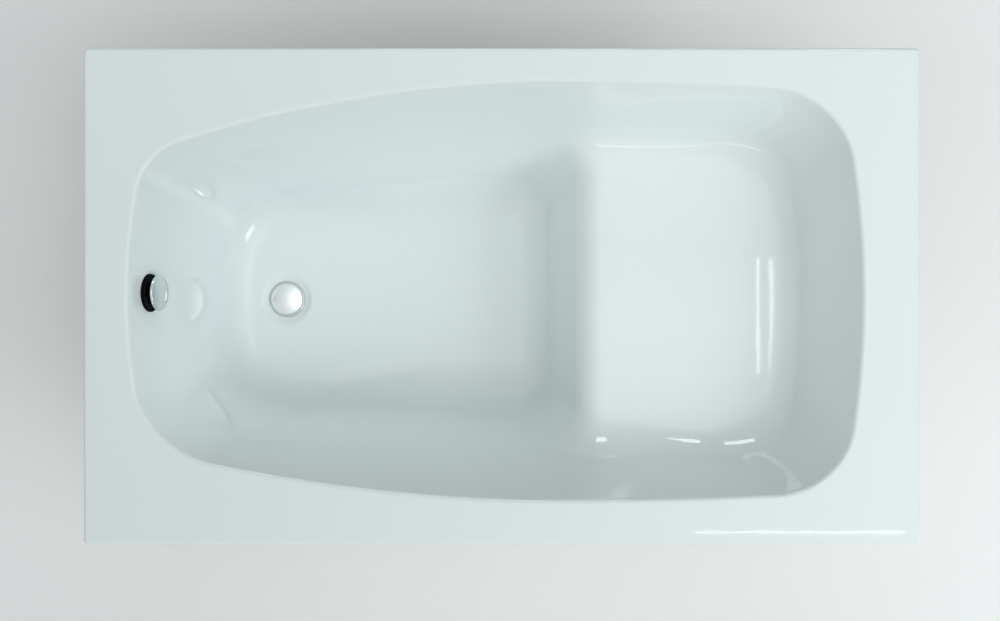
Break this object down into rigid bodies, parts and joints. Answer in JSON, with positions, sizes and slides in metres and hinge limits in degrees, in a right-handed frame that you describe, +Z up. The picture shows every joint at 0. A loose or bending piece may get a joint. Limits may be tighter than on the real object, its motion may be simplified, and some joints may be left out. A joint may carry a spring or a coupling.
{
  "type": "bathtub",
  "caption": "Rectangular bathtub with a deep footwell, a moulded seat and a sloping backrest; a turning overflow knob lifts the domed plug, on an underframe with adjustable feet.",
  "frame": {"origin": "on the floor, under the middle of the rim", "axes": "+X towards the head end, where the seat is; +Y towards the back; +Z up"},
  "size_m": [1.6, 0.95, 0.59],
  "materials": {
    "acrylic": "white sanitary acrylic, high gloss",
    "glass_fibre": "rough chopped-strand laminate",
    "board": "chipboard",
    "batten": "sawn softwood",
    "zinc_steel": "zinc plated",
    "foot_plastic": "moulded",
    "black_plastic": "moulded",
    "hose_plastic": "moulded grey",
    "white_plastic": "moulded white",
    "chrome": "polished",
    "shaft_metal": "turned",
    "lever_plastic": "moulded",
    "rubber": "moulded"
  },
  "bodies": {
    "tub": {"bath_shell": "acrylic", "glass_fibre_backing": "glass_fibre", "footwell_board": "board", "seat_board": "board", "rim_batten_front": "batten", "rim_batten_back": "batten", "rim_batten_head": "batten", "rim_batten_foot": "batten", "foot_rail_drain": "zinc_steel", "foot_rail_riser": "zinc_steel", "seat_rail": "zinc_steel", "seat_leg_front": "zinc_steel", "seat_leg_back": "zinc_steel", "leg_bolts": "zinc_steel", "rail_screws": "zinc_steel", "cable_ferrules": "zinc_steel", "lever_pin": "zinc_steel", "overflow_flange": "black_plastic", "overflow_elbow": "black_plastic", "hose_nut_top": "black_plastic", "hose_nut_bottom": "black_plastic", "drain_body": "black_plastic", "pull_cable": "black_plastic", "overflow_hose": "hose_plastic", "outlet_pipe": "hose_plastic", "trap_body": "white_plastic", "trap_cup": "white_plastic", "trap_nut": "white_plastic", "outlet_nut": "white_plastic", "drain_flange": "chrome", "overflow_gasket": "rubber", "drain_seal": "rubber", "drain_gasket": "rubber", "trap_seal": "rubber"},
    "knob": {"overflow_knob": "chrome", "knob_shaft": "shaft_metal"},
    "plug": {"plug_cap": "chrome", "plug_seal": "rubber", "plug_stem": "shaft_metal"},
    "lever": {"lift_lever": "lever_plastic"},
    "foot_1": {"foot_pad_1": "foot_plastic", "foot_rod_1": "zinc_steel"},
    "nuts_1": {"foot_nuts_1": "zinc_steel"},
    "foot_2": {"foot_pad_2": "foot_plastic", "foot_rod_2": "zinc_steel"},
    "nuts_2": {"foot_nuts_2": "zinc_steel"},
    "foot_3": {"foot_pad_3": "foot_plastic", "foot_rod_3": "zinc_steel"},
    "nuts_3": {"foot_nuts_3": "zinc_steel"},
    "foot_4": {"foot_pad_4": "foot_plastic", "foot_rod_4": "zinc_steel"},
    "nuts_4": {"foot_nuts_4": "zinc_steel"},
    "foot_5": {"foot_pad_5": "foot_plastic", "foot_rod_5": "zinc_steel"},
    "nuts_5": {"foot_nuts_5": "zinc_steel"},
    "foot_6": {"foot_pad_6": "foot_plastic", "foot_rod_6": "zinc_steel"},
    "nuts_6": {"foot_nuts_6": "zinc_steel"}
  },
  "joints": [
    {"name": "knob_turn", "type": "hinge", "parent": "tub", "child": "knob", "pos_m": [-0.68991, 0.007, 0.508], "axis": [0.9563, 0, 0.2924], "range_deg": [0, 120]},
    {"name": "plug_lift", "type": "slide", "parent": "tub", "child": "plug", "axis": [0, 0, 1], "range_m": [0, 0.012]},
    {"name": "lever_swing", "type": "hinge", "parent": "tub", "child": "lever", "pos_m": [-0.465, -0.027, 0.112], "axis": [1, 0, 0], "range_deg": [0, 28.95]},
    {"name": "foot_1_height", "type": "slide", "parent": "tub", "child": "foot_1", "axis": [0, 0, 1], "range_m": [-0.02, 0.012]},
    {"name": "nuts_1_turn", "type": "hinge", "parent": "tub", "child": "nuts_1", "pos_m": [-0.34, -0.25, 0.13], "axis": [0, 0, 1], "range_deg": [-2470, 4116]},
    {"name": "foot_2_height", "type": "slide", "parent": "tub", "child": "foot_2", "axis": [0, 0, 1], "range_m": [-0.02, 0.012]},
    {"name": "nuts_2_turn", "type": "hinge", "parent": "tub", "child": "nuts_2", "pos_m": [-0.34, 0.25, 0.13], "axis": [0, 0, 1], "range_deg": [-2470, 4116]},
    {"name": "foot_3_height", "type": "slide", "parent": "tub", "child": "foot_3", "axis": [0, 0, 1], "range_m": [-0.02, 0.012]},
    {"name": "nuts_3_turn", "type": "hinge", "parent": "tub", "child": "nuts_3", "pos_m": [-0.023, -0.25, 0.13], "axis": [0, 0, 1], "range_deg": [-2470, 4116]},
    {"name": "foot_4_height", "type": "slide", "parent": "tub", "child": "foot_4", "axis": [0, 0, 1], "range_m": [-0.02, 0.012]},
    {"name": "nuts_4_turn", "type": "hinge", "parent": "tub", "child": "nuts_4", "pos_m": [-0.023, 0.25, 0.13], "axis": [0, 0, 1], "range_deg": [-2470, 4116]},
    {"name": "foot_5_height", "type": "slide", "parent": "tub", "child": "foot_5", "axis": [0, 0, 1], "range_m": [-0.02, 0.012]},
    {"name": "nuts_5_turn", "type": "hinge", "parent": "tub", "child": "nuts_5", "pos_m": [0.3845, -0.185, 0.13], "axis": [0, 0, 1], "range_deg": [-2470, 4116]},
    {"name": "foot_6_height", "type": "slide", "parent": "tub", "child": "foot_6", "axis": [0, 0, 1], "range_m": [-0.02, 0.012]},
    {"name": "nuts_6_turn", "type": "hinge", "parent": "tub", "child": "nuts_6", "pos_m": [0.3845, 0.185, 0.13], "axis": [0, 0, 1], "range_deg": [-2470, 4116]}
  ],
  "couplings": [
    {"joint": "plug_lift", "follows": "knob_turn", "m_per_rad": 0.0057295},
    {"joint": "lever_swing", "follows": "knob_turn", "ratio": 0.24129},
    {"joint": "nuts_1_turn", "follows": "foot_1_height", "rad_per_m": -3590.4},
    {"joint": "nuts_2_turn", "follows": "foot_2_height", "rad_per_m": -3590.4},
    {"joint": "nuts_3_turn", "follows": "foot_3_height", "rad_per_m": -3590.4},
    {"joint": "nuts_4_turn", "follows": "foot_4_height", "rad_per_m": -3590.4},
    {"joint": "nuts_5_turn", "follows": "foot_5_height", "rad_per_m": -3590.4},
    {"joint": "nuts_6_turn", "follows": "foot_6_height", "rad_per_m": -3590.4}
  ]
}
